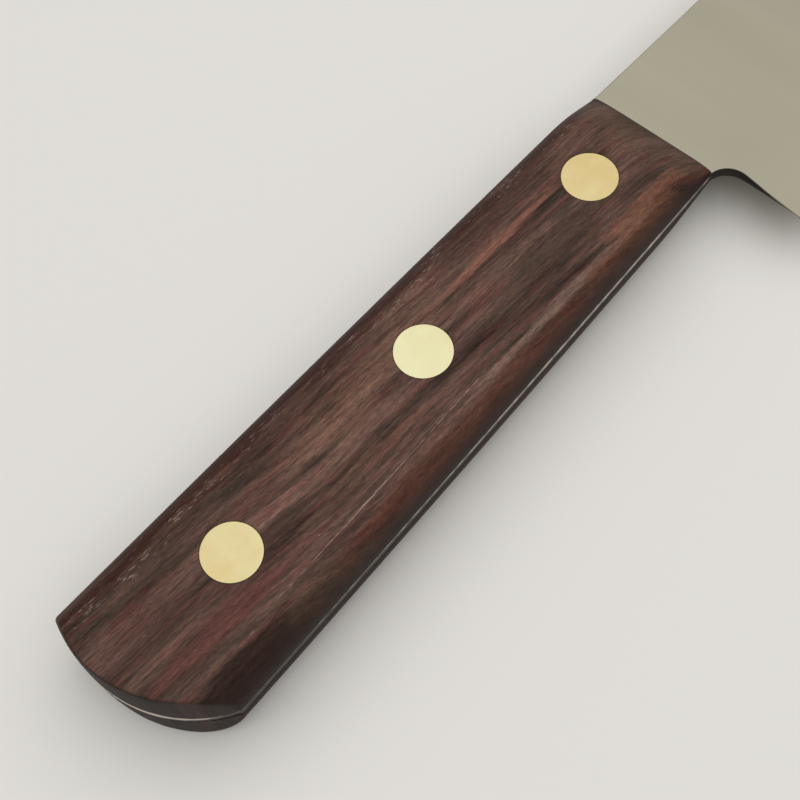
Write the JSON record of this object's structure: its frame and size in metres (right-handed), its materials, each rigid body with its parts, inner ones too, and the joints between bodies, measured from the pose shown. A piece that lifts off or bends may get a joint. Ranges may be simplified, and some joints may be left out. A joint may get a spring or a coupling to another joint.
{
  "type": "slicing knife",
  "caption": "Long slender slicing knife: a full-tang steel blade between two dark wooden scales held by flush brass rivets.",
  "frame": {"origin": "middle of the bottom of the knife's box, with the knife lying on its left side", "axes": "+X from the butt to the tip, +Y from the edge to the spine, +Z out of the right side"},
  "size_m": [0.3506, 0.0384, 0.0158],
  "materials": {
    "steel": "fine satin, brushed across the blade",
    "wood": "dark rosewood, open pored, oiled and worn to a low sheen",
    "brass": "ground flush and lightly brushed"
  },
  "bodies": {
    "root": {"blade": "steel", "right_scale": "wood", "left_scale": "wood", "front_rivet_stud": "brass", "front_rivet_cap": "brass", "middle_rivet_stud": "brass", "middle_rivet_cap": "brass", "rear_rivet_stud": "brass", "rear_rivet_cap": "brass"}
  },
  "joints": []
}
